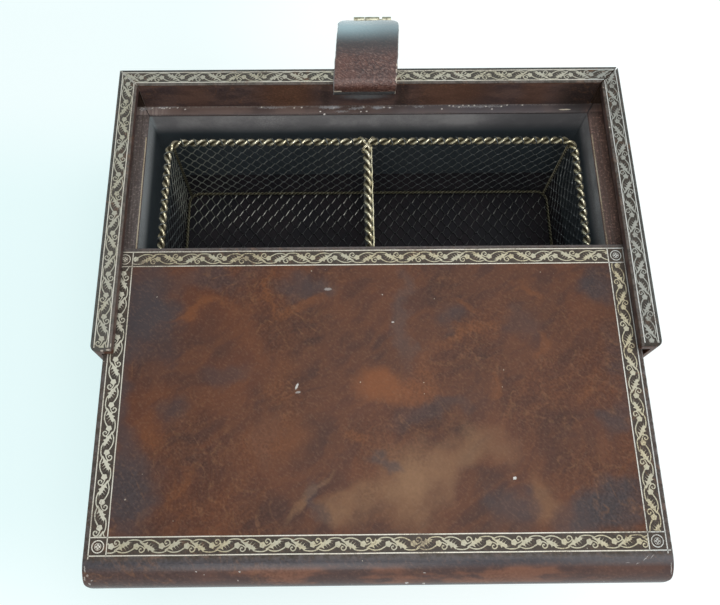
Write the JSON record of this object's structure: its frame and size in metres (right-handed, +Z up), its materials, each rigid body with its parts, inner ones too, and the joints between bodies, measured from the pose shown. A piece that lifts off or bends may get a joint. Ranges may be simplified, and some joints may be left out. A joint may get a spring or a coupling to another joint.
{
  "type": "tobacco box",
  "caption": "Leather covered wooden tobacco box with a sliding lid, a strap with a hinged brass hasp, and a lined well that holds a wire netting basket with compartments.",
  "frame": {"origin": "centre of the box's footprint, on the underside of the base", "axes": "+X to the box's right, +Y to the back where the strap is, +Z up; the lid slides along Y"},
  "size_m": [0.25, 0.2808, 0.0909],
  "materials": {
    "box_leather": "polished mottled calf",
    "lid_leather": "polished mottled calf with a gold-tooled border",
    "ledge_leather": "dusty brown leather with a gilt edge",
    "well_lining": "grey lining leather",
    "floor_cloth": "dark lining cloth",
    "base_cloth": "dark felt",
    "board": "plain softwood",
    "strap_leather": "worn brown strap leather",
    "hinge_brass": "worn brass",
    "wire_brass": "twisted brass wire with dark patina",
    "netting": "dark bronzed wire netting",
    "nail_steel": "plain steel"
  },
  "bodies": {
    "box": {"bottom_board": "board", "left_wall": "board", "right_wall": "board", "back_wall": "board", "front_wall": "board", "bottom_nails": "nail_steel", "corner_nails": "nail_steel", "left_cover": "box_leather", "right_cover": "box_leather", "back_cover": "box_leather", "front_cover": "box_leather", "base_cover": "base_cloth", "left_runner": "ledge_leather", "right_runner": "ledge_leather", "back_ledge": "ledge_leather", "left_liner": "well_lining", "right_liner": "well_lining", "back_liner": "well_lining", "front_liner": "well_lining", "floor_lining": "floor_cloth", "strap_root": "strap_leather", "rim_wire": "wire_brass", "divider_wire": "wire_brass", "base_wire": "wire_brass", "corner_wires": "wire_brass", "binding_wires": "wire_brass", "back_net": "netting", "front_net": "netting", "left_net": "netting", "right_net": "netting", "divider_net": "netting", "floor_net": "netting"},
    "lid": {"lid_board": "board", "nose_rail": "board", "lid_cover": "lid_leather", "nose_cover": "lid_leather", "lid_lining": "floor_cloth"},
    "strap": {"strap_face": "strap_leather", "strap_core": "strap_leather", "strap_back": "strap_leather", "hinge_leaf": "hinge_brass", "hinge_pin": "hinge_brass"},
    "hasp": {"hasp_plate": "hinge_brass"}
  },
  "joints": [
    {"name": "lid_slide", "type": "slide", "parent": "box", "child": "lid", "axis": [0, -1, 0], "range_m": [-0.083, 0.025]},
    {"name": "strap_fold", "type": "hinge", "parent": "box", "child": "strap", "pos_m": [0, 0.0628, 0.0896], "axis": [1, 0, 0], "range_deg": [0, 190]},
    {"name": "hasp_hinge", "type": "hinge", "parent": "strap", "child": "hasp", "pos_m": [0, 0.10863, 0.08114], "axis": [1, 0, 0], "range_deg": [-80, 85]}
  ]
}
